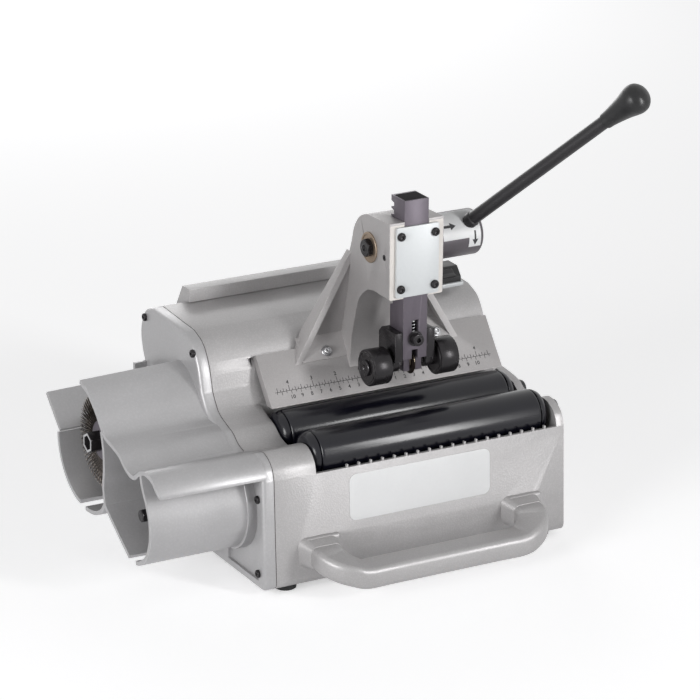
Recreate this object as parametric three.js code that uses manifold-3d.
// Bench machine that cuts, reams and brushes the ends of pipes. Millimetres, +Z up.
// X runs along the rollers to the right, Y to the back, and Z is the height above the bench.
// X = 0 is the plane of the cutter wheel and Y = 0 is the scale line on the inclined plate.
import * as THREE from 'three';
import { mergeVertices } from 'three/addons/utils/BufferGeometryUtils.js';
import Module from 'manifold-3d';

const wasm = await Module();
wasm.setup();

// Gaps and overruns that all pieces share
const clearance = 0.3;
const overrun = 2;
const sliver = 0.2;
const smallFacets = 12;
const midFacets = 14;
const fineFacets = 24;

// Rollers in the open trough
const rollerRadius = 22.3;
const rollerHalfLength = 118;
const rollerChamfer = 3;
const rollerWall = 6;
const rollerSpacing = 58.5;
const rearRollerY = -9.5;
const rollerHeight = 120;
const rollerJournalRadius = 5;
const troughEndLeft = 10;
const troughEndRight = 12;
const troughGap = 2.4;
const troughFloorGap = 4;
const ribCount = 18;
const ribWidth = 2;
const ribRise = 3;
const ribPitch = 12.5;

// Main housing, a thin aluminium casting that is open below and at its left end
const housingWall = 5;
const housingEndWall = 8;
const housingCorner = 8;
const cornerFacets = 3;
const footHeight = 6;
const lipDepth = 8.3;
const humpFoot = 2.66;
const bedRise = 39;
const bulkheadThickness = 6;
const humpInset = 4;
const waveFacets = 12;
const humpFacets = 6;
const bulgeFacets = 5;
const lipShare = [0.039, 0.693];
const bedShares = [
  [0.039, 0.693], [0.066, 0.761], [0.13, 0.813], [0.211, 0.833], [0.312, 0.811], [0.438, 0.754],
  [0.577, 0.77], [0.68, 0.823], [0.781, 0.85], [0.907, 0.895], [1, 1],
];
const humpShares = [[0, 0], [0.058, 0.446], [0.159, 0.788], [0.316, 0.942]];
const bulgeShares = [
  [0.867, 1], [0.992, 0.885], [1.066, 0.633], [1.087, 0.365], [1.058, 0.058], [1, -0.212],
];
const rimShares = [
  [0.039, 0.693], [0.078, 0.772], [0.165, 0.817], [0.265, 0.827], [0.422, 0.804], [0.634, 0.811],
  [0.758, 0.831], [0.922, 0.843],
];

// Inclined scale plate of the head casting
const plateOverhang = 7;
const plateTilt = THREE.MathUtils.degToRad(52);
const plateBack = 6.1;
const plateRise = 23.6;
const plateSlope = 53.7;
const plateThickness = 8;
const padInner = 31;
const padOuter = 80;
const padLow = 38;
const padHigh = 63;
const padRise = 1.5;

// Carry handle cast onto the front
const handleReach = 56;
const handleInset = 42;
const handleCorner = 26;
const handleWidth = 30;
const handleThick = 21;
const handleHeight = 38;
const handleDrop = 13;
const handleSteps = 24;
const handleBendSteps = 4;

// Rear cover over the motor opening
const rearCoverLeft = -145;
const rearCoverRight = 60;
const rearCoverRise = 13;
const rearCoverWall = 4;
const rearCoverChamfer = 5;
const rearCoverSlant = 15;
const rearCoverDepth = 9;
const rearCoverFrontShare = 0.841;
const rearCoverDropShare = 0.212;
const motorWindowInset = 10;
const motorWindowLift = 20.6;
const motorWindowHeight = 22;

// Bottom plate, its posts and the feet
const bottomPlateThickness = 2;
const bottomPlateSink = 3;
const postRadius = 8;
const postRise = 34;
const postInset = 13;
const footRadius = 11;
const footStemRadius = 3.2;
const footStemLength = 10;

// End cover with its two barrel guards
const coverThickness = 12;
const coverFace = 7;
const coverBevel = 3.5;
const coverRim = 8;
const coverRecess = 3;
const guardLength = 104;
const guardWall = 4;
const guardDraft = 0.025;
const barrelDraft = 0.06;
const recessTopShare = 0.693;
const guardMiddleShare = [0.789, 0.614];
const roofShares = [
  [1.336, 1.101], [1.203, 1.065], [1.07, 0.98], [0.977, 0.895], [0.906, 0.853], [0.789, 0.833],
  [0.688, 0.81], [0.594, 0.761], [0.516, 0.737], [0.438, 0.742], [0.367, 0.784], [0.289, 0.814],
  [0.195, 0.814], [0.117, 0.784], [0.074, 0.739], [0.066, 0.712],
];
const middleWallShares = [
  [0.984, 0.876], [0.949, 0.758], [0.945, 0.641], [0.961, 0.523], [0.938, 0.412],
];
const chuteShares = [[0.938, 0.412], [0.742, 0.307], [0.539, 0.203]];
const footLipShares = [[0.938, 0.425], [1.008, 0.353], [1.133, 0.307], [1.273, 0.294]];
const backPlateTopShare = [0.925, -0.305];
const frontBarrelAhead = 4.3;
const frontBarrelRise = 3.3;
const frontBarrelRadius = 44;
const frontBarrelStart = THREE.MathUtils.degToRad(122);
const frontBarrelEnd = THREE.MathUtils.degToRad(262);
const rearBarrelAhead = 3;
const rearBarrelDrop = 5;
const rearBarrelRadius = 55;
const rearBarrelStart = THREE.MathUtils.degToRad(-82);
const rearBarrelEnd = THREE.MathUtils.degToRad(-2);
const barrelFacets = 9;
const tabShift = 4;
const tabLength = 13;
const tabRise = 14;
const lipCornerCut = 9;

// Gear train behind the end cover
const fineModule = 1.25;
const coarseModule = 2.5;
const gearWidth = 8;
const gearGap = 2;
const bayRoom = 7;
const rollerTeeth = 10;
const sideIdlerTeeth = 22;
const middleIdlerTeeth = 19;
const frontSpindleTeeth = 16;
const layshaftSmallTeeth = 36;
const layshaftLargeTeeth = 32;
const spindlePinionTeeth = 10;
const spindleWheelTeeth = 28;
const motorTeeth = 10;
const idlerLean = THREE.MathUtils.degToRad(12);
const toothTipShare = 0.85;
const toothRootShare = 1.15;
const toothTipWidthShare = 0.4;
const toothRootWidthShare = 1.15;
const gearRoomGap = 1;
const pinRadius = 4;
const gearHubWall = 3;
const motorDirection = THREE.MathUtils.degToRad(54);
const frontSpindleDirection = THREE.MathUtils.degToRad(-70);

// Spindles, bearings and the wire wheel
const rearSpindleBack = 78.5;
const rearSpindleDrop = 7;
const spindleRadius = 8;
const driveShaftRadius = 6;
const rollerBearingRadius = 9;
const bearingRadius = 14;
const bearingWidth = 7;
const bearingLand = 2.5;
const bossWall = 3;
const shaftHoleGap = 0.8;
const collarRadius = 13;
const collarWidth = 3.5;
const rearSpindleReach = 97.7;
const hexHubLength = 12;
const hexHubFlats = 18;
const hexSocketFlats = 10;
const hexSocketDepth = 5;
const wheelSliceWidth = 6.6;
const wheelSlices = 3;
const wheelCoreRadius = 17;
const wheelRadius = 44.5;
const strandRows = 2;
const strandsPerRow = 32;
const strandSides = 3;
const strandRadius = 0.75;
const strandTipShare = 0.55;
const frontSpindleReach = 91.7;
const frontHexLength = 13;
const frontHexFlats = 11;

// Motor in the hump
const motorRadius = 43;
const motorLength = 150;
const motorEndRadius = 30;
const motorEndLength = 16;
const motorShaftSeat = 20;
const motorBackGap = 2.1;
const motorHeadroom = 11.6;

// Closed bushes that carry the right ends of the roller shafts
const endBushRadius = 8.6;
const endBushHead = 8;
const endBushDomeShare = 0.75;
const endBushFloor = 2;

// Pinion shaft, clutch and lever
const pinionY = -14;
const pinionRise = 40.5;
const pinionTeeth = 12;
const pinionPitchRadius = 14;
const pinionShaftRadius = 8;
const pinionShaftTail = 7.5;
const pinionShaftNose = 1;
const pocketGap = 1.2;
const bushWall = 3;
const bushFlange = 2.5;
const bushFlangeWidth = 1.6;
const hubRadius = 21.8;
const hubLength = 53.8;
const hubGap = 0.7;
const hubChamfer = 3;
const clutchRadius = 14;
const clutchBase = 4;
const clutchDogLength = 4;
const clutchDogs = 6;
const clutchDogAngle = THREE.MathUtils.degToRad(26);
const clutchDogInner = 9.5;
const dogFacets = 3;
const springSeat = 6;
const springLength = 20;
const hubCounterboreRadius = 13;
const hubSpringWire = 1.3;
const hubSpringRadius = 11;
const hubSpringTurns = 4;
const washerThickness = 2.4;
const leverPlace = 30.8;
const leverOut = THREE.MathUtils.degToRad(23);
const leverUp = THREE.MathUtils.degToRad(45);
const leverRodRadius = 6.35;
const leverRodGap = 4.6;
const leverRodLength = 207.4;
const knobSocket = 20;
const knobRadius = 14.3;
const knobLength = 50.5;
const knobShares = [
  [0, 0.52], [0.12, 0.56], [0.3, 0.66], [0.5, 0.8], [0.65, 0.94], [0.75, 1],
  [0.86, 0.93], [0.95, 0.65], [1, 0.25],
];

// Head casting: the block, the column and the gussets
const headHalfWidth = 28.5;
const columnFootHalfWidth = 35;
const headLift = 130;
const headDepth = 76;
const headHeight = 73;
const flareShare = 0.824;
const headBackShares = [
  [0.584, 0.979], [0.764, 0.89], [0.887, 0.726], [0.939, 0.534], [1, 0.356],
];
const columnDepth = 30.4;
const throatShares = [
  [-1.155, 1.006], [-0.793, 0.982], [-0.484, 0.906], [-0.257, 0.824], [-0.168, 0.742], [0.03, 0.354],
  [-0.01, -0.006],
];
const columnBackShares = [
  [0.674, 0.255], [0.836, 0.454], [1, 0.495], [0.688, 0.836],
];
const gussetReach = 60.5;
const gussetRise = 26;
const gussetFootShare = 0.065;
const gussetRib = 6;
const panelFrontShares = [
  [0.211, 0.047], [0.688, 0.249], [0.293, 1.009],
];
const panelBackShares = [
  [0.457, 1.009], [0.839, 0.353], [0.822, 0.29], [0.668, 0.164], [0.457, 0.092],
];
const ribFrontShares = [[0.211, 0.047], [0.342, 1.009]];
const ribBackShares = [
  [0.556, 1.009], [0.829, 0.353], [0.806, 0.29], [0.668, 0.164], [0.457, 0.092],
];
const setScrewAhead = 27.7;
const setScrewDrop = 2.3;
const setScrewRadius = 2.6;
const setScrewDepth = 3;
const headCoverInset = 6;
const headCoverFoot = 1;
const headCoverHead = 4;
const headCoverThickness = 3;
const headCoverCorner = 1.5;

// Feed bar with its rack, slot and cutter fork
const barWidth = 25.4;
const barProud = 20;
const rackFoot = 3;
const slotHalfWidth = 3.6;
const slotRise = 18;
const forkRise = 9;
const forkHalfGap = 3.2;
const tongueHalfWidth = 9.5;
const tongueHalfDepth = 7;
const tongueDrop = 7;
const cutterOffset = 1.6;
const cutterLift = 62;
const cutterSink = 6;
const cutterRadius = 12;
const cutterHubRadius = 6;
const cutterHubHalf = 2.8;
const cutterDiscHalf = 1.6;
const cutterFacets = 24;
const cutterPinRadius = 3;

// Roll carriage that floats on the bar
const carriageWall = 8;
const carriageBackWall = 5.4;
const carriageLift = 4;
const carriageHeight = 28.5;
const carriageChamfer = 5;
const lugWall = 7;
const lugRadius = 8;
const lugFacets = 8;
const axleRise = 0.5;
const axleRadius = 5;
const axleHeadRadius = 7.5;
const axleHeadWidth = 2;
const supportRollRadius = 17.5;
const supportRollGap = 5;
const supportRollWidth = 19;
const supportRollChamfer = 1.5;
const carriageScrewRise = 21.5;
const carriageScrewRadius = 3;
const carriageScrewHead = 5.8;
const carriageScrewHeadLength = 6;
const carriageWasherRadius = 7.4;
const carriageWasherThickness = 1.2;
const screwSocketFlats = 5;
const slotSpringRadius = 2.2;
const slotSpringWire = 0.6;
const slotSpringTurns = 4;
const slotSpringInset = 5;
const springSteps = 8;
const springSides = 5;

// Switch on the right of the hump
const switchInset = 20;
const switchWidth = 36;
const switchFrontShare = 0.232;
const switchDepth = 35;
const switchRise = 17.5;
const switchSlant = 9;
const rockerWidth = 18;
const rockerLength = 10;
const rockerThick = 4;
const rockerWell = 3;

// Finishes
const castAluminium = { color: 0xb4b3b6, roughness: 0.5, metalness: 0.55 };
const guardAluminium = { color: 0xb9bbc0, roughness: 0.38, metalness: 0.6 };
const paleAluminium = { color: 0xd5dadd, roughness: 0.35, metalness: 0.6 };
const blackRoller = { color: 0x16161c, roughness: 0.14, metalness: 0.2 };
const blackSteel = { color: 0x26242a, roughness: 0.35, metalness: 0.6 };
const greySteel = { color: 0x5a5560, roughness: 0.42, metalness: 0.7 };
const brightSteel = { color: 0xb6b6b8, roughness: 0.25, metalness: 0.9 };
const bronze = { color: 0x7a6242, roughness: 0.4, metalness: 0.8 };
const blackPlastic = { color: 0x131315, roughness: 0.4, metalness: 0.0 };
const blackRubber = { color: 0x1b1b1d, roughness: 0.8, metalness: 0.0 };
const wire = { color: 0x857a70, roughness: 0.5, metalness: 0.6 };
const motorPaint = { color: 0x3a3f48, roughness: 0.5, metalness: 0.4 };

// Shape helpers

// A closed geometry becomes a solid that can be joined and cut.
function solid(geometry) {
  const bare = new THREE.BufferGeometry();
  bare.setAttribute('position', geometry.getAttribute('position').clone());
  if (geometry.index) bare.setIndex(geometry.index.clone());
  const merged = mergeVertices(bare);
  const position = merged.getAttribute('position').array;
  const kept = [];
  const index = merged.index.array;
  let volume = 0;
  const corner = (i) => new THREE.Vector3(position[3 * i], position[3 * i + 1], position[3 * i + 2]);
  for (let i = 0; i < index.length; i += 3) {
    const [a, b, c] = [index[i], index[i + 1], index[i + 2]];
    if (a === b || b === c || c === a) continue;
    kept.push(a, b, c);
    volume += corner(a).dot(corner(b).cross(corner(c)));
  }
  if (volume < 0) kept.reverse();
  return new wasm.Manifold(new wasm.Mesh({
    numProp: 3, vertProperties: new Float32Array(position), triVerts: new Uint32Array(kept),
  }));
}

// A solid becomes a geometry with flat facets.
function geometryOf(body) {
  const mesh = body.getMesh();
  const geometry = new THREE.BufferGeometry();
  geometry.setAttribute('position', new THREE.BufferAttribute(new Float32Array(mesh.vertProperties), 3));
  geometry.setIndex(new THREE.BufferAttribute(new Uint32Array(mesh.triVerts), 1));
  return geometry;
}

const join = (...bodies) => bodies.reduce((all, next) => all.add(next));
const cut = (body, ...cutters) => cutters.reduce((left, next) => left.subtract(next), body);

// Columns of the turn that takes an outline's plane and depth to the named axis.
const planes = {
  x: [[0, 1, 0], [0, 0, 1], [1, 0, 0]],
  y: [[1, 0, 0], [0, 0, 1], [0, -1, 0]],
  z: [[1, 0, 0], [0, 1, 0], [0, 0, 1]],
};

// Outline in (y, z), (x, z) or (x, y), pushed from one place to another along the axis.
function prism(axis, points, from, to) {
  const shape = new THREE.Shape(points.map(([a, b]) => new THREE.Vector2(a, b)));
  const geometry = new THREE.ExtrudeGeometry(shape, { depth: to - from, bevelEnabled: false, steps: 1 });
  geometry.applyMatrix4(new THREE.Matrix4().makeBasis(...planes[axis].map((v) => new THREE.Vector3(...v))));
  const start = axis === 'y' ? to : from;
  const shift = { x: [start, 0, 0], y: [0, start, 0], z: [0, 0, start] }[axis];
  return solid(geometry.translate(...shift));
}

const box = (x, y, z) => prism('z', [[x[0], y[0]], [x[1], y[0]], [x[1], y[1]], [x[0], y[1]]], z[0], z[1]);

// Profile of [place along the axis, radius] pairs, turned round the axis.
function turned(axis, profile, facets) {
  const points = profile.map(([along, radius]) => new THREE.Vector2(radius, along));
  const geometry = new THREE.LatheGeometry(points, facets);
  if (axis === 'x') geometry.rotateZ(-Math.PI / 2);
  if (axis === 'z') geometry.rotateX(Math.PI / 2);
  return solid(geometry);
}

const disc = (axis, radius, from, to, facets = midFacets) =>
  turned(axis, [[from, 0], [from, radius], [to, radius], [to, 0]], facets);

const ring = (axis, inner, outer, from, to, facets = midFacets) =>
  turned(axis, [[from, inner], [from, outer], [to, outer], [to, inner], [from, inner]], facets);

const hexagon = (flats) => Array.from({ length: 6 }, (_, i) => {
  const angle = (i + 0.5) * Math.PI / 3;
  const radius = flats / 2 / Math.cos(Math.PI / 6);
  return [radius * Math.cos(angle), radius * Math.sin(angle)];
});

const polar = (y, z, radius, angle) => [y + radius * Math.cos(angle), z + radius * Math.sin(angle)];

const arc = (y, z, radius, start, end, facets) =>
  Array.from({ length: facets + 1 }, (_, i) => polar(y, z, radius, start + (end - start) * i / facets));

// Outline moved along its own normals, outwards for a positive distance on a counter-clockwise outline.
function offset(points, distance, closed = true) {
  const count = points.length;
  return points.map(([a, b], i) => {
    const before = points[closed ? (i + count - 1) % count : Math.max(i - 1, 0)];
    const after = points[closed ? (i + 1) % count : Math.min(i + 1, count - 1)];
    const inward = new THREE.Vector2(a - before[0], b - before[1]).normalize();
    const outward = new THREE.Vector2(after[0] - a, after[1] - b).normalize();
    const along = inward.clone().add(outward).normalize();
    const reach = distance / Math.max(along.dot(outward.lengthSq() ? outward : inward), 0.5);
    return [a + along.y * reach, b - along.x * reach];
  });
}

// Sections of equal count, each a list of [x, y, z], skinned and closed at both ends.
function loft(sections) {
  const count = sections[0].length;
  const positions = sections.flat(2);
  const index = [];
  for (let s = 0; s < sections.length - 1; s += 1) {
    for (let i = 0; i < count; i += 1) {
      const a = s * count + i;
      const b = s * count + (i + 1) % count;
      index.push(a, b, b + count, a, b + count, a + count);
    }
  }
  const flat = sections[0].map(([, y, z]) => new THREE.Vector2(y, z));
  const last = (sections.length - 1) * count;
  for (const [a, b, c] of THREE.ShapeUtils.triangulateShape(flat, [])) {
    index.push(c, b, a, last + a, last + b, last + c);
  }
  const geometry = new THREE.BufferGeometry();
  geometry.setAttribute('position', new THREE.Float32BufferAttribute(positions, 3));
  geometry.setIndex(index);
  return solid(geometry);
}

const atX = (points, x) => points.map(([y, z]) => [x, y, z]);

// Point that lies one distance from the first centre and another from the second, on the lower side.
function meshPoint(first, firstDistance, second, secondDistance) {
  const between = new THREE.Vector2(second[0] - first[0], second[1] - first[1]);
  const span = between.length();
  const along = (firstDistance ** 2 - secondDistance ** 2 + span ** 2) / (2 * span);
  const aside = Math.sqrt(firstDistance ** 2 - along ** 2);
  between.normalize();
  const side = between.x > 0 ? -1 : 1;
  return [
    first[0] + between.x * along - side * between.y * aside,
    first[1] + between.y * along + side * between.x * aside,
  ];
}

// Tube that winds round the z axis, from one height to another.
function coil(radius, wireRadius, turns, from, to) {
  const steps = turns * springSteps;
  const positions = [];
  const index = [];
  for (let s = 0; s <= steps; s += 1) {
    const turn = 2 * Math.PI * s / springSteps;
    const height = from + (to - from) * s / steps;
    for (let k = 0; k < springSides; k += 1) {
      const round = 2 * Math.PI * k / springSides;
      const reach = radius + wireRadius * Math.cos(round);
      positions.push(reach * Math.cos(turn), reach * Math.sin(turn), height + wireRadius * Math.sin(round));
    }
  }
  for (let s = 0; s < steps; s += 1) {
    for (let k = 0; k < springSides; k += 1) {
      const a = s * springSides + k;
      const b = s * springSides + (k + 1) % springSides;
      index.push(a, b, b + springSides, a, b + springSides, a + springSides);
    }
  }
  const last = steps * springSides;
  for (let k = 1; k < springSides - 1; k += 1) {
    index.push(0, k + 1, k, last, last + k, last + k + 1);
  }
  const geometry = new THREE.BufferGeometry();
  geometry.setAttribute('position', new THREE.Float32BufferAttribute(positions, 3));
  geometry.setIndex(index);
  return solid(geometry);
}

// Tree of the machine: one group for each body that moves
const machine = new THREE.Group();

function body(parent, x, y, z) {
  const group = new THREE.Group();
  group.position.set(x, y, z);
  parent.add(group);
  return group;
}

function add(parent, name, shape, finish, x = 0, y = 0, z = 0) {
  const mesh = new THREE.Mesh(geometryOf(shape), new THREE.MeshStandardMaterial(finish));
  mesh.name = name;
  mesh.position.set(x, y, z);
  parent.add(mesh);
  return mesh;
}

// Places that several pieces share, along X
const troughLeft = -rollerHalfLength - troughEndLeft;
const troughRight = rollerHalfLength + troughEndRight;
const bulkheadLeft = troughLeft - bulkheadThickness;
const thirdPlaneX = bulkheadLeft - bayRoom - gearWidth;
const secondPlaneX = thirdPlaneX - gearGap - gearWidth;
const firstPlaneX = secondPlaneX - gearGap - gearWidth;
const housingLeft = firstPlaneX - gearGap;
const housingRight = troughRight + housingEndWall;
const humpRight = troughRight - humpInset;
const coverOuter = housingLeft - clearance - coverThickness;
const coverInner = coverOuter + coverFace;
const plateHalfLength = rollerHalfLength + plateOverhang;

// Axes across the machine, each a pair of depth and height
const housingBase = footHeight;
const frontRollerY = rearRollerY - rollerSpacing;
const fineRadius = (teeth) => teeth * fineModule / 2;
const coarseRadius = (teeth) => teeth * coarseModule / 2;
const rearRoller = [rearRollerY, rollerHeight];
const frontRoller = [frontRollerY, rollerHeight];
const rearSpindle = [rearRollerY + rearSpindleBack, rollerHeight - rearSpindleDrop];
const sideReach = fineRadius(rollerTeeth + sideIdlerTeeth);
const frontIdler = polar(...frontRoller, sideReach, idlerLean - Math.PI / 2);
const rearIdler = polar(...rearRoller, sideReach, -idlerLean - Math.PI / 2);
const middleReach = fineRadius(sideIdlerTeeth + middleIdlerTeeth);
const middleIdler = meshPoint(frontIdler, middleReach, rearIdler, middleReach);
const lowerReach = fineRadius(middleIdlerTeeth + frontSpindleTeeth);
const frontSpindle = polar(...middleIdler, lowerReach, frontSpindleDirection);
const layshaft = meshPoint(rearIdler, fineRadius(sideIdlerTeeth + layshaftSmallTeeth),
  rearSpindle, coarseRadius(spindlePinionTeeth + layshaftLargeTeeth));
const motorAxis = polar(...rearSpindle, coarseRadius(spindleWheelTeeth + motorTeeth), motorDirection);

// Scale plate, and the places on it by the way up its slope and the depth behind its face
const slopeDirection = [Math.cos(plateTilt), Math.sin(plateTilt)];
const plateBottom = [rearRollerY + plateBack, rollerHeight + plateRise];
const onPlate = (slope, depth) => [
  plateBottom[0] + slope * slopeDirection[0] + depth * slopeDirection[1],
  plateBottom[1] + slope * slopeDirection[1] - depth * slopeDirection[0],
];
const plateTop = onPlate(plateSlope, 0);

// The bed is the part of the housing below the rollers, and the hump behind it holds the motor
const housingFrontY = frontRollerY - rollerRadius - troughGap - lipDepth;
const housingBackY = motorAxis[0] + motorRadius + motorBackGap + housingWall;
const housingTop = motorAxis[1] + motorRadius + motorHeadroom + housingWall;
const housingDepth = housingBackY - housingFrontY;
const housingHeight = housingTop - housingBase;
const bedHeight = rollerHeight + bedRise - housingBase;
const bedDepth = plateTop[0] - humpFoot - housingFrontY;
const bedPoint = ([a, b]) => [housingFrontY + a * bedDepth, housingBase + b * bedHeight];
const humpPoint = ([a, b]) => [
  housingFrontY + bedDepth + a * (housingDepth - bedDepth),
  housingBase + bedHeight + b * (housingHeight - bedHeight),
];
const lip = bedPoint(lipShare);

// Feed bar, cutter and head, which stand on the pinion's depth and on the rollers' height
const pinionModule = 2 * pinionPitchRadius / pinionTeeth;
const pinionAddendum = pinionModule;
const barBackY = pinionY - pinionPitchRadius + pinionAddendum;
const barFrontY = barBackY - barWidth;
const cutterY = (barFrontY + barBackY) / 2 - cutterOffset;
const cutterHeight = rollerHeight + cutterLift;
const headFrontY = barFrontY - clearance;
const headBottom = rollerHeight + headLift;
const headTop = headBottom + headHeight;
const pinionHeight = headBottom + pinionRise;
const barBottom = cutterHeight + cutterSink;
const barTop = headTop + barProud;
const axleHeight = cutterHeight + axleRise;
const carriageBottom = axleHeight + carriageLift;
const carriageTop = carriageBottom + carriageHeight;
const carriageScrewHeight = carriageBottom + carriageScrewRise;
const carriageFrontY = barFrontY;
const carriageBackY = barBackY + clearance + carriageBackWall;
const slotTop = carriageScrewHeight + slotRise;
const columnFoot = onPlate(plateSlope / 2, 0);
const headPoint = ([a, b]) => [headFrontY + a * headDepth, headBottom + b * headHeight];
const columnHeight = headBottom - columnFoot[1];
const columnPoint = ([a, b]) => [columnFoot[0] + a * columnDepth, columnFoot[1] + b * columnHeight];
const gussetTop = headBottom + gussetRise;
const gussetHeight = gussetTop - columnFoot[1];
const gussetPoint = ([a, b]) => [columnFoot[0] + a * columnDepth, columnFoot[1] + b * gussetHeight];

// Smooth curve through points, as a list of points
const smooth = (points, facets) => new THREE.SplineCurve(points.map((p) => new THREE.Vector2(...p)))
  .getPoints(facets).map((p) => [p.x, p.y]);

// Outline of the housing seen from the left end, counter-clockwise, with its lower corners rounded
function housingOutline() {
  const [front, back, r] = [housingFrontY, housingBackY, housingCorner];
  const frontCorner = arc(front + r, housingBase + r, r, -Math.PI / 2, -Math.PI, cornerFacets);
  const backCorner = arc(back - r, housingBase + r, r, 0, -Math.PI / 2, cornerFacets);
  const bed = smooth(bedShares.map(bedPoint), waveFacets);
  const hump = smooth(humpShares.map(humpPoint), humpFacets).slice(1);
  const bulge = smooth(bulgeShares.map(humpPoint), bulgeFacets);
  return [...frontCorner, ...bed, ...hump, ...bulge, ...backCorner].reverse();
}
const outline = housingOutline();

// Space of the rollers, the plate and the air in front of the hump, grown by a wall where that is wanted
function troughOutline(grow) {
  const front = frontRollerY - rollerRadius - troughGap;
  const floor = rollerHeight - rollerRadius - troughFloorGap;
  const back = rearRollerY + rollerRadius + troughGap;
  const depth = plateThickness + clearance;
  const slopeAtBack = (back - plateBottom[0] - depth * slopeDirection[1]) / slopeDirection[0];
  const air = housingBase + 2 * housingHeight;
  const points = [[front - housingDepth, lip[1]], [front, lip[1]], [front, floor + troughFloorGap],
    [front + troughFloorGap, floor], [back, floor], onPlate(slopeAtBack, depth),
    onPlate(plateSlope + clearance, depth),
    onPlate(plateSlope + clearance, clearance), [plateTop[0], air],
    [front - housingDepth, air]];
  return offset(points, grow);
}

// Trough cutter between two X places
const troughCutter = (grow, from, to) => prism('x', troughOutline(grow), from, to);

function carryHandle() {
  const wallY = (housingFrontY + lip[0]) / 2 + housingWall;
  const [left, right] = [troughLeft, housingRight - handleInset];
  const reachY = housingFrontY - handleReach + handleWidth / 2;
  const low = handleHeight - handleDrop;
  const corner = handleCorner;
  const bend = (centreX, start, end, share) => Array.from({ length: handleBendSteps + 1 }, (_, i) => {
    const angle = start + (end - start) * i / handleBendSteps;
    const fall = share(i / handleBendSteps) * handleDrop;
    return [centreX + corner * Math.cos(angle), reachY + corner + corner * Math.sin(angle),
      handleHeight - fall];
  });
  const places = [[left, wallY, handleHeight], ...bend(left + corner, Math.PI, Math.PI * 1.5, (t) => t),
    [left + 2 * corner, reachY, low], [(left + right) / 2, reachY, low], [right - 2 * corner, reachY, low],
    ...bend(right - corner, Math.PI * 1.5, Math.PI * 2, (t) => 1 - t), [right, wallY, handleHeight]];
  const path = new THREE.CatmullRomCurve3(places.map((p) => new THREE.Vector3(...p)), false, 'centripetal');
  const half = [handleThick / 2, handleWidth / 2];
  const chamfer = handleThick / 4;
  const section = [[half[0] - chamfer, -half[1]], [half[0], -half[1] + chamfer],
    [half[0], half[1] - chamfer],
    [half[0] - chamfer, half[1]], [-half[0] + chamfer, half[1]], [-half[0], half[1] - chamfer],
    [-half[0], -half[1] + chamfer], [-half[0] + chamfer, -half[1]]];
  const shape = new THREE.Shape(section.map(([a, b]) => new THREE.Vector2(a, b)));
  return solid(new THREE.ExtrudeGeometry(shape, { steps: handleSteps, extrudePath: path }));
}

function postPlaces() {
  const left = housingLeft + housingWall + postInset;
  const right = housingRight - housingWall - postInset;
  const front = housingFrontY + housingWall + postInset;
  const back = housingBackY - housingWall - postInset;
  return [['front_left', left, front], ['front_right', right, front], ['rear_left', left, back],
    ['rear_right', right, back]];
}

const plateLow = footHeight + bottomPlateSink;
const plateHigh = plateLow + bottomPlateThickness;

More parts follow.
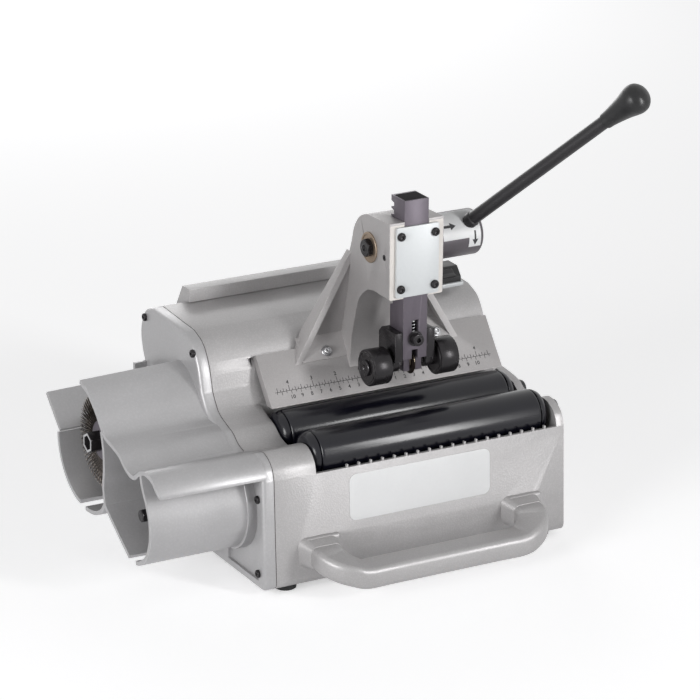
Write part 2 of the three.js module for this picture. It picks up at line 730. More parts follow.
function mainHousing() {
  const inner = offset(outline, -housingWall);
  const lowered = inner.map(([y, z]) => [y, z < housingBase + 2 * housingWall ? housingBase - overrun : z]);
  const wallRight = housingRight - housingWall;
  const bay = prism('x', lowered, housingLeft - overrun, bulkheadLeft);
  const motorRoom = cut(prism('x', lowered, troughLeft, wallRight),
    troughCutter(housingWall, troughLeft - overrun, troughRight + housingWall),
    prism('x', rimOutline(housingWall), humpRight - housingWall, housingRight + overrun));
  let shell = cut(prism('x', outline, housingLeft, housingRight), bay, motorRoom,
    troughCutter(0, troughLeft, troughRight), prism('x', rimOutline(0), humpRight, housingRight + overrun));
  shell = cut(shell, box([housingLeft - overrun, wallRight],
    [lip[0] + housingWall, housingBackY - housingWall],
    [housingBase - overrun, plateHigh + clearance]));
  shell = join(shell, carryHandle());
  for (const [, x, y] of postPlaces()) {
    const wallY = y + Math.sign(y) * postInset;
    const postLow = plateHigh + clearance;
    const web = box([x - postRadius / 2, x + postRadius / 2], [Math.min(y, wallY), Math.max(y, wallY)],
      [postLow, housingBase + postRise]);
    const post = disc('z', postRadius, postLow, housingBase + postRise, smallFacets).translate(x, y, 0);
    shell = join(shell, post, web);
    shell = cut(shell, disc('z', footStemRadius + clearance, plateHigh - overrun,
      plateHigh + footStemLength, smallFacets)
      .translate(x, y, 0));
  }
  const bearings = [[rearRoller, rollerBearingRadius, rollerJournalRadius],
    [frontRoller, rollerBearingRadius, rollerJournalRadius], [rearSpindle, bearingRadius, 0],
    [frontSpindle, bearingRadius, 0], [motorAxis, bearingRadius, driveShaftRadius]];
  const seatLeft = troughLeft - bearingLand - bearingWidth - clearance;
  for (const [[y, z], outside, through] of bearings) {
    shell = join(shell, disc('x', outside + bossWall, seatLeft, bulkheadLeft + sliver).translate(0, y, z));
    shell = cut(shell, disc('x', outside + clearance, seatLeft - overrun,
      troughLeft - bearingLand).translate(0, y, z));
    if (through) {
      shell = cut(shell, disc('x', through + shaftHoleGap, troughLeft - bearingLand - overrun,
        troughLeft + overrun)
        .translate(0, y, z));
    }
  }
  for (const [y, z] of [frontIdler, middleIdler, rearIdler]) {
    shell = join(shell, disc('x', pinRadius, thirdPlaneX - gearGap / 2, bulkheadLeft + sliver, smallFacets)
      .translate(0, y, z), disc('x', pinRadius + bossWall, seatLeft, bulkheadLeft + sliver, smallFacets)
      .translate(0, y, z));
  }
  shell = cut(shell, disc('x', pinRadius + clearance, bulkheadLeft - overrun, troughLeft - bearingLand,
    smallFacets)
    .translate(0, ...layshaft));
  const gearRoom = fineRadius(rollerTeeth) + toothTipShare * fineModule + gearRoomGap;
  for (const [y, z] of [frontRoller, rearRoller]) {
    const room = disc('x', gearRoom, thirdPlaneX - gearGap, thirdPlaneX + gearWidth + gearGap).translate(0,
      y, z);
    const bushHole = disc('x', endBushRadius + clearance, troughRight - overrun, housingRight + overrun);
    shell = cut(shell, room, bushHole.translate(0, y, z));
  }
  for (let i = 0; i < ribCount; i += 1) {
    const x = (i - (ribCount - 1) / 2) * ribPitch;
    shell = join(shell, box([x - ribWidth / 2, x + ribWidth / 2],
      [lip[0] + sliver, frontRollerY - rollerRadius - troughGap], [lip[1] - ribRise, lip[1] + ribRise]));
  }
  const windowLow = motorAxis[1] + motorWindowLift;
  return cut(shell, box([rearCoverLeft + motorWindowInset, rearCoverRight - motorWindowInset],
    [housingBackY - housingWall, housingBackY + housingDepth], [windowLow, windowLow + motorWindowHeight]));
}

// Space above the right wall, over its rim and beside the hump
function rimOutline(grow) {
  const rim = rimShares.map(bedPoint);
  const air = housingBase + 2 * housingHeight;
  const back = housingFrontY + 2 * housingDepth;
  const points = [[housingFrontY - housingDepth, rim[0][1]], ...rim, [back, rim[rim.length - 1][1]],
    [back, air],
    [housingFrontY - housingDepth, air]];
  return offset(points, grow);
}

// Wall bent along the points and spread by its draft towards the cover, about a centre
function guardStrip(points, centre = bedPoint(guardMiddleShare), draft = guardDraft) {
  const closed = [...offset(points, guardWall / 2, false),
    ...offset(points, -guardWall / 2, false).reverse()];
  const grown = closed.map((point) => point.map((place,
    i) => centre[i] + (place - centre[i]) * (1 + draft)));
  const depth = coverRecess + sliver;
  return loft([atX(closed, coverOuter - guardLength), atX(grown, coverOuter + depth)]);
}

function endCover() {
  const left = coverOuter;
  const bevelled = offset(outline, -coverBevel);
  const face = loft([atX(bevelled, left), atX(outline, left + coverBevel),
    atX(outline, left + coverThickness)]);
  const dish = prism('x', offset(outline, -housingWall), coverInner, left + coverThickness + overrun);
  const frontBarrel = [frontSpindle[0] + frontBarrelAhead, frontSpindle[1] + frontBarrelRise];
  const rearBarrel = [rearSpindle[0] - rearBarrelAhead, rearSpindle[1] - rearBarrelDrop];
  const barrel = disc('x', frontBarrelRadius + guardWall, left - overrun, left + coverFace, fineFacets)
    .translate(0, ...frontBarrel);
  const front = lip[0] + coverRim;
  const recessTop = bedPoint([0, recessTopShare])[1];
  const recess = cut(prism('x', [[front, housingBase + coverRim], [frontBarrel[0], housingBase + coverRim],
    [frontBarrel[0], recessTop], [front + coverBevel, recessTop]], left - overrun, left + coverRecess),
    barrel);
  const frontArc = arc(...frontBarrel, frontBarrelRadius, frontBarrelStart, frontBarrelEnd, barrelFacets);
  const rearArc = arc(...rearBarrel, rearBarrelRadius, rearBarrelStart, rearBarrelEnd, barrelFacets);
  const backTop = humpPoint(backPlateTopShare);
  const tab = box([left - tabShift - tabLength, left - tabShift], [backTop[0] - guardWall, backTop[0]],
    [backTop[1] - guardWall, backTop[1] + tabRise]);
  let casting = join(cut(face, dish, recess), guardStrip(frontArc,
    [frontBarrel[0], rollerHeight - rollerRadius],
    barrelDraft), guardStrip([...rearArc, backTop]), tab);
  for (const shares of [roofShares, middleWallShares, chuteShares, footLipShares]) {
    casting = join(casting, guardStrip(shares.map(bedPoint)));
  }
  for (const [y, z] of [rearSpindle, frontSpindle]) {
    const right = left + coverThickness;
    casting = join(casting, disc('x', bearingRadius + bossWall, left + sliver, right).translate(0, y, z));
    casting = cut(casting, disc('x', bearingRadius + clearance, right - bearingWidth - clearance,
      right + overrun)
      .translate(0, y, z), disc('x', spindleRadius + shaftHoleGap, left - overrun, right).translate(0, y,
        z));
  }
  const lipEnd = left - guardLength;
  const roof = roofShares.map(bedPoint);
  const lipLow = roof[roof.length - 1][1] - guardWall;
  const corner = prism('y', [[lipEnd - overrun, lipLow], [lipEnd + lipCornerCut, lipLow],
    [lipEnd - overrun, lipLow + 2 * lipCornerCut]], housingFrontY, roof[roof.length - 4][0]);
  return cut(casting, corner);
}

// Raised cover on the back edge of the hump, a shell that is open to the motor
function rearCover() {
  const [frontY, topZ] = humpPoint([rearCoverFrontShare, 1]);
  const low = humpPoint([1, rearCoverDropShare])[1];
  const seat = offset(outline, clearance).filter(([y, z]) => y > frontY && z > low);
  const back = seat[0][0] + rearCoverDepth;
  const skin = [[frontY, topZ + rearCoverRise], [frontY + rearCoverSlant, topZ + rearCoverRise],
    [back, low + rearCoverSlant], [back, low]];
  const shell = prism('x', orient([...seat, [frontY, topZ + clearance], ...skin]), rearCoverLeft,
    rearCoverRight);
  const room = prism('x', offset(orient([[frontY, low], ...skin]), -rearCoverWall),
    rearCoverLeft + rearCoverWall,
    rearCoverRight - rearCoverWall);
  const corner = (x, side) => prism('z', orient([[x - side * overrun, back - rearCoverChamfer],
    [x + side * rearCoverChamfer, back + overrun], [x - side * overrun, back + overrun]]), low - overrun,
  topZ + rearCoverRise + overrun);
  return cut(shell, room, corner(rearCoverLeft, 1), corner(rearCoverRight, -1));
}

// Outline with its points in counter-clockwise order
function orient(points) {
  const shape = points.map(([a, b]) => new THREE.Vector2(a, b));
  return THREE.ShapeUtils.isClockWise(shape) ? [...points].reverse() : points;
}

function bottomPlate() {
  const gap = housingWall + clearance;
  let plate = box([housingLeft + gap, housingRight - gap], [lip[0] + gap, housingBackY - gap],
    [plateLow, plateHigh]);
  for (const [, x, y] of postPlaces()) {
    plate = cut(plate, disc('z', footStemRadius + clearance, 0, plateHigh + overrun,
      smallFacets).translate(x, y, 0));
  }
  return plate;
}

const foot = () => join(turned('z', [[0, 0], [0, footRadius - clearance * 3], [bottomPlateSink, footRadius],
  [plateLow - clearance, footRadius], [plateLow - clearance, 0]], midFacets),
disc('z', footStemRadius, plateLow - clearance - sliver, plateHigh + footStemLength - clearance,
  smallFacets));

add(machine, 'main_housing', mainHousing(), castAluminium);
add(machine, 'end_cover', endCover(), guardAluminium);
add(machine, 'rear_cover', rearCover(), castAluminium);
add(machine, 'bottom_plate', bottomPlate(), greySteel);
for (const [place, x, y] of postPlaces()) add(machine, `foot_${place}`, foot(), blackRubber, x, y, 0);

// Head casting with its scale plate
function sideGusset(side) {
  const mirror = (points) => points.map(([x, z]) => [side * x, z]);
  const [near, far] = [headHalfWidth - sliver, headHalfWidth + gussetReach];
  const foot = gussetPoint([0, gussetFootShare])[1];
  const fall = gussetTop - foot;
  const run = gussetRib * Math.hypot(far - near, fall) / fall;
  const triangle = mirror([[far, foot], [near, gussetTop], [near, foot]]);
  const strip = mirror([[far, foot], [near, gussetTop], [near, gussetTop - run * fall / (far - near)],
    [far - run, foot]]);
  const panel = orient([...panelFrontShares, ...panelBackShares].map(gussetPoint));
  const rib = orient([...ribFrontShares, ...ribBackShares].map(gussetPoint));
  const across = side > 0 ? [near, far] : [-far, -near];
  return join(prism('y', orient(triangle), -housingDepth,
    housingDepth).intersect(prism('x', panel, ...across)),
    prism('y', orient(strip), -housingDepth, housingDepth).intersect(prism('x', rib, ...across)));
}

// Raised machined pad on the plate, between the column and a gusset
function platePad(side) {
  const points = orient([onPlate(padLow, -padRise), onPlate(padHigh, -padRise), onPlate(padHigh, padRise),
    onPlate(padLow, padRise)]);
  return side > 0 ? prism('x', points, padInner, padOuter) : prism('x', points, -padOuter, -padInner);
}

function headCasting() {
  const lowBack = (plateThickness / slopeDirection[1]) - overrun;
  const plate = prism('x', orient([plateBottom, onPlate(plateSlope, 0), onPlate(plateSlope, plateThickness),
    onPlate(lowBack, plateThickness), [onPlate(lowBack, plateThickness)[0], plateBottom[1]]]),
  -plateHalfLength, plateHalfLength);
  const side = orient([[headFrontY, headBottom], ...throatShares.map(columnPoint),
    onPlate(plateSlope / 2, plateThickness / 2),
    ...columnBackShares.map(columnPoint), ...headBackShares.map(headPoint).reverse(),
    [headFrontY, headTop]]);
  const [narrow, wide] = [headHalfWidth, columnFootHalfWidth];
  const flare = columnPoint([0, flareShare])[1];
  const front = prism('y', [[-wide, plateBottom[1]], [wide, plateBottom[1]], [narrow, flare],
    [narrow, headTop + overrun],
    [-narrow, headTop + overrun], [-narrow, flare]], headFrontY - overrun, headFrontY + 2 * headDepth);
  const block = prism('x', side, -wide, wide).intersect(front);
  const channelBack = barBackY + clearance;
  const half = barWidth / 2 + clearance;
  const ends = [-narrow - overrun, narrow + overrun];
  const pocket = disc('x', pinionPitchRadius + pinionAddendum + pocketGap, -half, half, fineFacets)
    .translate(0, pinionY, pinionHeight);
  const bore = disc('x', pinionShaftRadius + bushWall + clearance, ...ends).translate(0, pinionY,
    pinionHeight);
  const channel = box([-half, half], [headFrontY - overrun, channelBack],
    [headBottom - overrun, headTop + overrun]);
  const setScrew = disc('x', setScrewRadius, -narrow - overrun, setScrewDepth - narrow, smallFacets)
    .translate(0, pinionY - setScrewAhead, pinionHeight - setScrewDrop);
  return cut(join(plate, block, platePad(1), platePad(-1), sideGusset(1), sideGusset(-1)), channel, pocket,
    bore, setScrew);
}

function headCoverPlate() {
  const [w, low, high] = [headHalfWidth - headCoverInset, headBottom + headCoverFoot,
    headTop - headCoverHead];
  const c = headCoverCorner;
  const points = [[-w + c, low], [w - c, low], [w, low + c], [w, high - c], [w - c, high], [-w + c, high],
    [-w, high - c], [-w, low + c]];
  return prism('y', points, headFrontY - headCoverThickness, headFrontY);
}

add(machine, 'head_casting', headCasting(), castAluminium);
add(machine, 'head_cover_plate', headCoverPlate(), paleAluminium);
const bushInner = pinionShaftRadius + clearance;
const bushOuter = pinionShaftRadius + bushWall;
const bushEnd = barWidth / 2 + clearance;
for (const [name, side] of [['left', -1], ['right', 1]]) {
  const profile = [[bushEnd, bushInner], [bushEnd, bushOuter], [headHalfWidth, bushOuter]];
  if (side < 0) {
    profile.push([headHalfWidth, bushOuter + bushFlange],
      [headHalfWidth + bushFlangeWidth, bushOuter + bushFlange],
      [headHalfWidth + bushFlangeWidth, bushInner]);
  } else {
    profile.push([headHalfWidth, bushInner]);
  }
  const shape = turned('x', [...profile, profile[0]].map(([x, r]) => [side * x, r]), midFacets);
  add(machine, `pinion_bush_${name}`, shape, bronze, 0, pinionY, pinionHeight);
}

// Tooth outline of a spur gear whose first tooth points along the phase
function gearOutline(teeth, module, phase) {
  const pitch = teeth * module / 2;
  const step = 2 * Math.PI / teeth;
  const points = [];
  for (let i = 0; i < teeth; i += 1) {
    const middle = phase + i * step;
    const root = step / 4 * toothRootWidthShare;
    const tip = step / 4 * toothTipWidthShare;
    points.push(polar(0, 0, pitch - toothRootShare * module, middle - root),
      polar(0, 0, pitch + toothTipShare * module, middle - tip),
      polar(0, 0, pitch + toothTipShare * module, middle + tip),
      polar(0, 0, pitch - toothRootShare * module, middle + root));
  }
  return points;
}

// Phase that puts a gap of the driven gear where the driver has a tooth.
function meshedPhase(driverTeeth, driverPhase, driver, drivenTeeth, driven) {
  const towards = Math.atan2(driven[1] - driver[1], driven[0] - driver[0]);
  const driverShare = driverTeeth * (towards - driverPhase) / (2 * Math.PI);
  return towards + Math.PI - (2 * Math.PI / drivenTeeth) * (0.5 - driverShare);
}

const gear = (teeth, module, phase, plane, bore) => cut(
  prism('x', gearOutline(teeth, module, phase), plane, plane + gearWidth),
  disc('x', bore, plane - overrun, plane + gearWidth + overrun, smallFacets));

const rearRollerPhase = 0;
const rearIdlerPhase = meshedPhase(rollerTeeth, rearRollerPhase, rearRoller, sideIdlerTeeth, rearIdler);
const middleIdlerPhase = meshedPhase(sideIdlerTeeth, rearIdlerPhase, rearIdler, middleIdlerTeeth,
  middleIdler);
const frontIdlerPhase = meshedPhase(middleIdlerTeeth, middleIdlerPhase, middleIdler, sideIdlerTeeth,
  frontIdler);
const frontRollerPhase = meshedPhase(sideIdlerTeeth, frontIdlerPhase, frontIdler, rollerTeeth, frontRoller);
const frontSpindlePhase = meshedPhase(middleIdlerTeeth, middleIdlerPhase, middleIdler, frontSpindleTeeth,
  frontSpindle);
const layshaftPhase = meshedPhase(sideIdlerTeeth, rearIdlerPhase, rearIdler, layshaftSmallTeeth, layshaft);
const spindlePhase = meshedPhase(layshaftLargeTeeth, layshaftPhase, layshaft, spindlePinionTeeth,
  rearSpindle);
const motorPhase = meshedPhase(spindleWheelTeeth, spindlePhase, rearSpindle, motorTeeth, motorAxis);

// Rollers, their shafts, gears and bearings
const shaftRight = troughRight + endBushFloor * 2;
for (const [name, [y, z], phase] of [['rear', rearRoller, rearRollerPhase],
  ['front', frontRoller, frontRollerPhase]]) {
  const spin = body(machine, 0, y, z);
  const [end, r, c] = [rollerHalfLength, rollerRadius, rollerChamfer];
  const sleeve = [[-end, r - rollerWall], [-end, r - c], [-end + c, r], [end - c, r], [end, r - c],
    [end, r - rollerWall], [-end, r - rollerWall]];
  add(spin, `${name}_roller_sleeve`, turned('x', sleeve, fineFacets), blackRoller);
  const core = r - rollerWall - clearance;
  const inset = end - c;
  const shaft = turned('x', [[thirdPlaneX + gearWidth - sliver, 0],
    [thirdPlaneX + gearWidth - sliver, rollerJournalRadius],
    [-inset, rollerJournalRadius], [-inset, core], [inset, core], [inset, rollerJournalRadius],
    [shaftRight, rollerJournalRadius], [shaftRight, 0]], midFacets);
  add(spin, `${name}_roller_shaft`, join(shaft, prism('x', gearOutline(rollerTeeth, fineModule, phase),
    thirdPlaneX,
    thirdPlaneX + gearWidth)), greySteel);
  const bearing = ring('x', rollerJournalRadius + clearance, rollerBearingRadius,
    troughLeft - bearingLand - bearingWidth, troughLeft - bearingLand);
  add(machine, `${name}_roller_bearing`, bearing, brightSteel, 0, y, z);
  const [hole, outside] = [rollerJournalRadius + clearance, housingRight + endBushHead];
  const dome = endBushRadius * endBushDomeShare;
  const bush = turned('x', [[troughRight, hole], [troughRight, endBushRadius],
    [housingRight, endBushRadius],
    [outside - endBushFloor, endBushRadius], [outside, dome], [outside, 0],
    [shaftRight + clearance, 0], [shaftRight + clearance, hole], [troughRight, hole]], midFacets);
  add(machine, `${name}_roller_end_bush`, bush, blackPlastic, 0, y, z);
}

// Idlers on spigots of the housing, and the layshaft gear on its pin
const pinBore = pinRadius + clearance;
for (const [name, place, teeth, phase] of [['front', frontIdler, sideIdlerTeeth, frontIdlerPhase],
  ['middle', middleIdler, middleIdlerTeeth, middleIdlerPhase],
  ['rear', rearIdler, sideIdlerTeeth, rearIdlerPhase]]) {
  add(body(machine, 0, ...place), `${name}_idler_gear`,
    gear(teeth, fineModule, phase, thirdPlaneX, pinBore), greySteel);
}
add(machine, 'layshaft_pin', disc('x', pinRadius, secondPlaneX - gearGap / 2,
  troughLeft - bearingLand - clearance,
  smallFacets), brightSteel, 0, ...layshaft);
const layshaftGear = join(gear(layshaftLargeTeeth, coarseModule, layshaftPhase, secondPlaneX, pinBore),
  ring('x', pinBore, pinBore + gearHubWall, secondPlaneX + gearWidth - sliver, thirdPlaneX + sliver,
    smallFacets),
  gear(layshaftSmallTeeth, fineModule, layshaftPhase, thirdPlaneX, pinBore));
add(body(machine, 0, ...layshaft), 'layshaft_gear', layshaftGear, greySteel);

// Motor, its shaft and the pinion cut on it
const motorLeft = troughLeft + clearance;
const motorRight = motorLeft + motorLength;
const motorCan = cut(turned('x', [[motorLeft, 0], [motorLeft, motorEndRadius],
  [motorLeft + housingWall, motorRadius],
  [motorRight - motorEndLength, motorRadius], [motorRight - motorEndLength, motorEndRadius],
  [motorRight, motorEndRadius - housingWall], [motorRight, 0]], fineFacets),
disc('x', driveShaftRadius + clearance, motorLeft - overrun, motorLeft + motorShaftSeat));
add(machine, 'motor', motorCan, motorPaint, 0, ...motorAxis);
const motorShaft = join(disc('x', driveShaftRadius, firstPlaneX, motorLeft + motorShaftSeat - clearance,
  smallFacets),
  prism('x', gearOutline(motorTeeth, coarseModule, motorPhase), firstPlaneX, firstPlaneX + gearWidth));
add(body(machine, 0, ...motorAxis), 'motor_shaft', motorShaft, brightSteel);
add(machine, 'motor_bearing', ring('x', driveShaftRadius + clearance, bearingRadius,
  troughLeft - bearingLand - bearingWidth, troughLeft - bearingLand), brightSteel, 0, ...motorAxis);

// Spindles and their bearings
const innerSeat = troughLeft - bearingLand - bearingWidth;
const outerSeat = coverOuter + coverThickness - bearingWidth;
for (const [name, axis, innerRadius] of [['rear', rearSpindle, spindleRadius],
  ['front', frontSpindle, driveShaftRadius]]) {
  for (const [place, left, shaft] of [['inner', innerSeat, innerRadius],
    ['outer', outerSeat, spindleRadius]]) {
    add(machine, `${name}_spindle_bearing_${place}`,
      ring('x', shaft + clearance, bearingRadius, left, left + bearingWidth), brightSteel, 0, ...axis);
  }
}
const spindleRight = troughLeft - bearingLand - clearance;
const rearTurning = body(machine, 0, ...rearSpindle);
const rearSpindleTip = coverOuter - rearSpindleReach;
const wheelLeft = rearSpindleTip + hexHubLength + clearance;
const wheelRight = wheelLeft + wheelSlices * wheelSliceWidth;
const hubBoreEnd = rearSpindleTip + hexSocketDepth + gearGap;
const rearShaft = turned('x', [[hubBoreEnd + clearance, 0], [hubBoreEnd + clearance, spindleRadius],
  [wheelRight + clearance, spindleRadius], [wheelRight + clearance, collarRadius],
  [wheelRight + clearance + collarWidth, collarRadius],
  [wheelRight + clearance + collarWidth, spindleRadius],
  [spindleRight, spindleRadius], [spindleRight, 0]], midFacets);
add(rearTurning, 'rear_spindle', rearShaft, blackSteel);
const spindleBore = spindleRadius + clearance;
const spindleGear = join(gear(spindleWheelTeeth, coarseModule, spindlePhase, firstPlaneX, spindleBore),
  gear(spindlePinionTeeth, coarseModule, spindlePhase, secondPlaneX, spindleBore),
  ring('x', spindleBore, coarseRadius(spindlePinionTeeth) - toothRootShare * coarseModule,
    firstPlaneX + gearWidth - sliver, secondPlaneX + sliver, smallFacets));
add(rearTurning, 'rear_spindle_gear', spindleGear, greySteel);
const hexHub = cut(prism('x', hexagon(hexHubFlats), rearSpindleTip, wheelLeft - clearance),
  prism('x', hexagon(hexSocketFlats), rearSpindleTip - overrun, rearSpindleTip + hexSocketDepth),
  disc('x', spindleRadius + clearance / 2, hubBoreEnd, wheelLeft + overrun));
add(rearTurning, 'brush_hub', hexHub, blackSteel);

// Three-sided strand from the core to the rim
function strand(angle, along) {
  const inner = wheelCoreRadius - strandRadius * 2;
  const section = (radius, x, size) => Array.from({ length: strandSides }, (_, i) => {
    const round = 2 * Math.PI * i / strandSides;
    const aside = size * Math.cos(round);
    return [x + size * Math.sin(round), radius * Math.cos(angle) - aside * Math.sin(angle),
      radius * Math.sin(angle) + aside * Math.cos(angle)];
  });
  const sections = [section(inner, along, strandRadius),
    section(wheelRadius, along, strandRadius * strandTipShare)];
  const geometry = new THREE.BufferGeometry();
  geometry.setAttribute('position', new THREE.Float32BufferAttribute(sections.flat(2), 3));
  geometry.setIndex([0, 1, 4, 0, 4, 3, 1, 2, 5, 1, 5, 4, 2, 0, 3, 2, 3, 5, 0, 2, 1, 3, 4, 5]);
  return solid(geometry);
}

for (let slice = 0; slice < wheelSlices; slice += 1) {
  const left = wheelLeft + slice * wheelSliceWidth + clearance / 2;
  const right = left + wheelSliceWidth - clearance;
  let brush = ring('x', spindleRadius + clearance, wheelCoreRadius, left, right, midFacets);
  for (let row = 0; row < strandRows; row += 1) {
    const along = left + (right - left) * (row + 0.5) / strandRows;
    for (let i = 0; i < strandsPerRow; i += 1) {
      const angle = 2 * Math.PI * (i + row / 2) / strandsPerRow;
      brush = brush.add(strand(angle, along));
    }
  }
  add(rearTurning, `wire_wheel_${slice + 1}`, brush, wire);
}

const frontTurning = body(machine, 0, ...frontSpindle);
const frontSpindleTip = coverOuter - frontSpindleReach;
const noseStart = frontSpindleTip + frontHexLength;
const frontShaft = join(turned('x', [[noseStart, 0], [noseStart, spindleRadius],
  [coverOuter - gearGap - collarWidth, spindleRadius], [coverOuter - gearGap - collarWidth, collarRadius],
  [coverOuter - gearGap, collarRadius], [coverOuter - gearGap, spindleRadius],
  [secondPlaneX, spindleRadius], [secondPlaneX, driveShaftRadius], [spindleRight, driveShaftRadius],
  [spindleRight, 0]], midFacets),
prism('x', hexagon(frontHexFlats), frontSpindleTip, noseStart + sliver));
add(frontTurning, 'front_spindle', frontShaft, blackSteel);
add(frontTurning, 'front_spindle_gear', gear(frontSpindleTeeth, fineModule, frontSpindlePhase, thirdPlaneX,
  driveShaftRadius + clearance), greySteel);

// Feed bar: a square bar with rack teeth on its back and a fork for the cutter below
function feedBar() {
  const pitch = 2 * Math.PI * pinionPitchRadius / pinionTeeth;
  const rackBottom = slotTop + rackFoot;
  const pitchLine = barBackY - pinionAddendum;
  const rootY = pitchLine - toothRootShare * pinionModule;
  const back = [];
  const gaps = Math.ceil((barTop - rackBottom) / pitch);
  for (let i = -gaps; i < gaps; i += 1) {
    const middle = pinionHeight + i * pitch;
    const [wide, narrow] = [pitch / 2 - pitch / 4 * toothTipWidthShare,
      pitch / 2 - pitch / 4 * toothRootWidthShare];
    if (middle - wide > rackBottom && middle + wide < barTop - gearGap) {
      back.push([barBackY, middle - wide], [rootY, middle - narrow], [rootY, middle + narrow],
        [barBackY, middle + wide]);
    }
  }
  const points = [[barFrontY, barBottom], [barBackY, barBottom], ...back, [barBackY, barTop],
    [barFrontY, barTop]];
  const blank = prism('x', points, -barWidth / 2, barWidth / 2);
  const tongue = box([-tongueHalfWidth, tongueHalfWidth],
    [cutterY - tongueHalfDepth, cutterY + tongueHalfDepth],
    [cutterHeight - tongueDrop, barBottom + sliver]);
  const slot = box([-slotHalfWidth, slotHalfWidth], [barFrontY - overrun, barBackY + overrun],
    [carriageScrewHeight - slotHalfWidth, slotTop]);
  const fork = box([-forkHalfGap, forkHalfGap], [barFrontY - overrun, barBackY + overrun],
    [cutterHeight - tongueDrop - overrun, barBottom + forkRise]);
  const pinHole = disc('x', cutterPinRadius + clearance, -barWidth, barWidth, smallFacets)
    .translate(0, cutterY, cutterHeight);
  return cut(join(blank, tongue), slot, fork, pinHole);
}

const bar = body(machine, 0, 0, 0);
add(bar, 'feed_bar', feedBar(), greySteel);
add(bar, 'cutter_pin', disc('x', cutterPinRadius, -tongueHalfWidth, tongueHalfWidth, smallFacets),
  brightSteel,
  0, cutterY, cutterHeight);
const cutterSpin = body(bar, 0, cutterY, cutterHeight);
const cutterBore = cutterPinRadius + clearance;
add(cutterSpin, 'cutter_wheel', turned('x', [[-cutterHubHalf, cutterBore],
  [-cutterHubHalf, cutterHubRadius],
  [-cutterDiscHalf, cutterHubRadius], [-cutterDiscHalf, cutterHubRadius + cutterDiscHalf],
  [0, cutterRadius],
  [cutterDiscHalf, cutterHubRadius + cutterDiscHalf], [cutterDiscHalf, cutterHubRadius],
  [cutterHubHalf, cutterHubRadius],
  [cutterHubHalf, cutterBore], [-cutterHubHalf, cutterBore]], cutterFacets), bronze);

// Roll carriage with its two support rolls
const carriageHalfWidth = barWidth / 2 + clearance + carriageWall;
const lugInner = carriageHalfWidth - lugWall;
function rollCarriage() {
  const [w, c] = [carriageHalfWidth, carriageChamfer];
  const blockTop = prism('x', [[carriageFrontY, carriageBottom], [carriageBackY, carriageBottom],
    [carriageBackY, carriageTop - c], [carriageBackY - c, carriageTop], [carriageFrontY, carriageTop]], -w,
    w);
  const channel = box([-barWidth / 2 - clearance, barWidth / 2 + clearance],
    [carriageFrontY - overrun, barBackY + clearance],
    [carriageBottom - overrun, carriageTop + overrun]);
  let carriage = cut(blockTop, channel);
  for (const side of [-1, 1]) {
    const [near, far] = [side * lugInner, side * carriageHalfWidth];
    const lug = prism('x', orient([[cutterY - lugRadius, carriageBottom + overrun],
      ...arc(cutterY, axleHeight, lugRadius, Math.PI, 2 * Math.PI, lugFacets),
      [cutterY + lugRadius, carriageBottom + overrun]]),
    Math.min(near, far), Math.max(near, far));
    carriage = cut(join(carriage, lug), disc('x', axleRadius + clearance, Math.min(near, far) - overrun / 4,
      Math.max(near, far) + overrun, midFacets).translate(0, cutterY, axleHeight));
  }
  return cut(carriage, disc('y', carriageScrewRadius + clearance, barBackY - overrun,
    carriageBackY + overrun, smallFacets)
    .translate(0, 0, carriageScrewHeight));
}

const carriage = body(bar, 0, 0, 0);
const supportRollLeft = carriageHalfWidth + supportRollGap;
const supportRollRight = supportRollLeft + supportRollWidth;
add(carriage, 'roll_carriage', rollCarriage(), blackSteel);
for (const [name, side] of [['left', -1], ['right', 1]]) {
  const profile = (points) => turned('x', points.map(([x, r]) => [side * x, r]), midFacets);
  const [lugFace, collar] = [carriageHalfWidth + clearance, supportRollLeft - clearance];
  add(carriage, `roll_axle_${name}`, profile([[lugInner + clearance, 0], [lugInner + clearance, axleRadius],
    [lugFace, axleRadius], [lugFace, axleHeadRadius], [collar, axleHeadRadius], [collar, axleRadius],
    [supportRollRight + clearance, axleRadius], [supportRollRight + clearance, axleHeadRadius],
    [supportRollRight + clearance + axleHeadWidth, axleHeadRadius],
    [supportRollRight + clearance + axleHeadWidth, 0]]),
  blackSteel, 0, cutterY, axleHeight);
  const rollSpin = body(carriage, 0, cutterY, axleHeight);
  const [a, b, c, r] = [supportRollLeft, supportRollRight, supportRollChamfer, supportRollRadius];
  const rollShape = turned('x', [[a, axleRadius + clearance], [a, r - c], [a + c, r], [b - c, r],
    [b, r - c],
    [b, axleRadius + clearance], [a, axleRadius + clearance]].map(([x, radius]) => [side * x, radius]),
    fineFacets);
  add(rollSpin, `support_roll_${name}`, rollShape, blackSteel);
}
const screwHeadY = barFrontY - clearance - carriageWasherThickness;
const carriageScrew = cut(join(
  disc('y', carriageScrewRadius, screwHeadY - clearance, carriageBackY - clearance, smallFacets),
  disc('y', carriageWasherRadius, screwHeadY, barFrontY - clearance, midFacets),
  disc('y', carriageScrewHead, screwHeadY - carriageScrewHeadLength, screwHeadY + sliver, midFacets)),
prism('y', hexagon(screwSocketFlats), screwHeadY - carriageScrewHeadLength - overrun,
  screwHeadY - carriageScrewHeadLength / 2));
add(carriage, 'carriage_screw', carriageScrew, blackSteel, 0, 0, carriageScrewHeight);
const slotSpringLow = carriageScrewHeight + carriageScrewRadius + clearance + slotSpringWire;
add(carriage, 'carriage_spring', coil(slotSpringRadius, slotSpringWire, slotSpringTurns, slotSpringLow,
  slotTop - clearance - slotSpringWire), brightSteel, 0, barFrontY + slotSpringInset, 0);

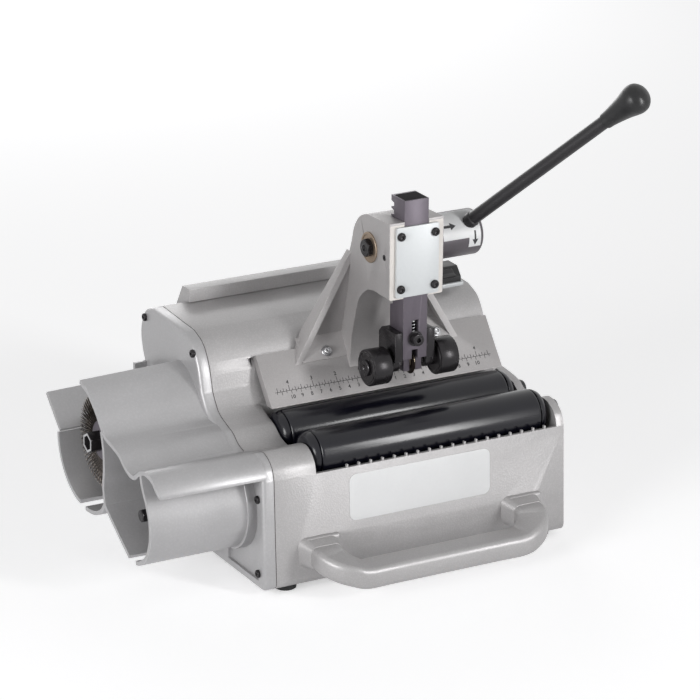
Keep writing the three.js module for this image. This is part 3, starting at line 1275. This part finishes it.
// Pinion shaft with the clutch ring
const lever = body(machine, 0, pinionY, pinionHeight);
const pinionPhase = Math.PI;
const hubLeft = headHalfWidth + hubGap;
const hubRight = hubLeft + hubLength;
const springLeft = hubLeft + leverPlace + clearance;
const springRight = springLeft + springLength;
const leverAxisX = hubLeft + leverPlace;
const pinionShaft = join(disc('x', pinionShaftRadius, -headHalfWidth - pinionShaftTail,
  hubRight - pinionShaftNose),
  prism('x', gearOutline(pinionTeeth, pinionModule, pinionPhase), -barWidth / 2, barWidth / 2));
add(lever, 'pinion_shaft', pinionShaft, blackSteel);
const sector = (inner, outer, from, to, middle, width) => prism('x', orient([
  ...arc(0, 0, outer, middle - width / 2, middle + width / 2, dogFacets),
  ...arc(0, 0, inner, middle + width / 2, middle - width / 2, dogFacets)]), from, to);
const dogStart = hubLeft + clutchBase;
let clutchRing = ring('x', pinionShaftRadius + clearance, clutchRadius, hubLeft, dogStart);
for (let i = 0; i < clutchDogs; i += 1) {
  clutchRing = join(clutchRing, sector(clutchDogInner, clutchRadius - clearance, dogStart - sliver,
    dogStart + clutchDogLength, 2 * Math.PI * i / clutchDogs, clutchDogAngle));
}
add(lever, 'clutch_ring', clutchRing, brightSteel);

// Lever hub that slides out along the shaft to free the clutch
const leverRodStart = hubCounterboreRadius + leverRodGap;
const leverRodEnd = leverRodStart + leverRodLength;
const leverDirection = new THREE.Vector3(Math.sin(leverOut), -Math.cos(leverOut) * Math.cos(leverUp),
  Math.cos(leverOut) * Math.sin(leverUp));
const alongLever = new THREE.Quaternion().setFromUnitVectors(new THREE.Vector3(0, 0, 1), leverDirection);
function leverHub() {
  const rodHole = disc('z', leverRodRadius + clearance, leverRodStart - clearance,
    leverRodStart + hubRadius);
  const turn = new THREE.Matrix4().makeRotationFromQuaternion(alongLever).setPosition(leverAxisX, 0, 0);
  let hub = cut(turned('x', [[hubLeft, 0], [hubLeft, hubRadius], [hubRight - hubChamfer, hubRadius],
    [hubRight, hubRadius - hubChamfer], [hubRight, 0]], fineFacets),
  disc('x', clutchRadius + clearance, hubLeft - overrun, dogStart + clutchDogLength + clearance,
    fineFacets),
  disc('x', pinionShaftRadius + clearance, hubLeft, hubRight, midFacets),
  disc('x', hubCounterboreRadius, springLeft, hubRight + overrun, fineFacets),
  rodHole.transform(turn.elements));
  const dogGap = 2 * Math.PI / clutchDogs;
  for (let i = 0; i < clutchDogs; i += 1) {
    hub = join(hub, sector(clutchDogInner, clutchRadius + housingWall, dogStart + clearance,
      dogStart + clutchDogLength + clearance + sliver, dogGap * (i + 0.5), clutchDogAngle));
  }
  return hub;
}

const hub = body(lever, 0, 0, 0);
add(hub, 'lever_hub', leverHub(), greySteel);
const hubSpring = add(lever, 'hub_spring', coil(hubSpringRadius, hubSpringWire, hubSpringTurns,
  springLeft + clearance + hubSpringWire, springRight - clearance - hubSpringWire), brightSteel);
hubSpring.rotation.set(0, Math.PI / 2, 0);
add(lever, 'hub_washer', ring('x', pinionShaftRadius + clearance, hubCounterboreRadius - clearance * 2,
  springRight,
  springRight + washerThickness), brightSteel);

const arm = body(hub, leverAxisX, 0, 0);
arm.quaternion.copy(alongLever);
add(arm, 'lever_rod', disc('z', leverRodRadius, leverRodStart, leverRodEnd, midFacets), blackSteel);
const knobStart = leverRodEnd - knobSocket;
const knobBore = leverRodRadius + clearance;
const knobProfile = knobShares.map(([along, radius]) => [knobStart + along * knobLength,
  radius * knobRadius]);
add(arm, 'lever_knob', turned('z', [[knobStart, knobBore], ...knobProfile, [knobStart + knobLength, 0],
  [leverRodEnd + clearance, 0], [leverRodEnd + clearance, knobBore], [knobStart, knobBore]], midFacets),
  blackPlastic);

// Switch with its rocker on the hump
const humpSeat = [humpPoint(humpShares[humpShares.length - 1]), humpPoint(bulgeShares[0])];
function humpTopAt(y) {
  const [front, back] = humpSeat;
  return front[1] + (back[1] - front[1]) * (y - front[0]) / (back[0] - front[0]);
}
const switchRight = housingRight - switchInset;
const switchLeft = switchRight - switchWidth;
const switchFrontY = humpPoint([switchFrontShare, 0])[0];
const switchBackY = switchFrontY + switchDepth;
const switchTop = humpTopAt(switchFrontY) + switchRise;
const switchMiddle = (switchLeft + switchRight) / 2;
const slantMiddle = [switchFrontY + switchSlant, switchTop - switchSlant / 2];
const slantAngle = Math.atan2(switchSlant, 2 * switchSlant);
function switchBox() {
  const seatY = Math.max(switchFrontY, humpSeat[0][0]);
  const points = [[seatY, humpTopAt(seatY) + clearance], [switchBackY, humpTopAt(switchBackY) + clearance],
    [switchBackY, switchTop], [switchFrontY + 2 * switchSlant, switchTop],
    [seatY, switchTop - switchSlant]];
  const half = [rockerWidth / 2 + clearance, rockerLength / 2 + clearance];
  const well = box([-half[0], half[0]], [-half[1], half[1]],
    [-rockerWell - clearance, rockerWell + overrun])
    .rotate([THREE.MathUtils.radToDeg(slantAngle), 0, 0]).translate(switchMiddle, ...slantMiddle);
  return cut(prism('x', points, switchLeft, switchRight), well);
}
add(machine, 'switch_box', switchBox(), blackPlastic);
const rocker = body(machine, switchMiddle, ...slantMiddle);
rocker.rotation.x = slantAngle;
const rockerShape = prism('x', [[-rockerLength / 2, -rockerWell / 3], [0, -rockerWell],
  [rockerLength / 2, -rockerWell / 3],
  [rockerLength / 2, rockerThick / 2], [0, rockerThick / 4], [-rockerLength / 2, rockerThick / 2]],
-rockerWidth / 2, rockerWidth / 2);
add(rocker, 'switch_rocker', rockerShape, blackPlastic);

// The origin is under the middle of the machine, on the bench
const extent = new THREE.Box3().setFromObject(machine, true);
const middle = extent.getCenter(new THREE.Vector3());
machine.position.set(-middle.x, -middle.y, -extent.min.z);

export default machine;
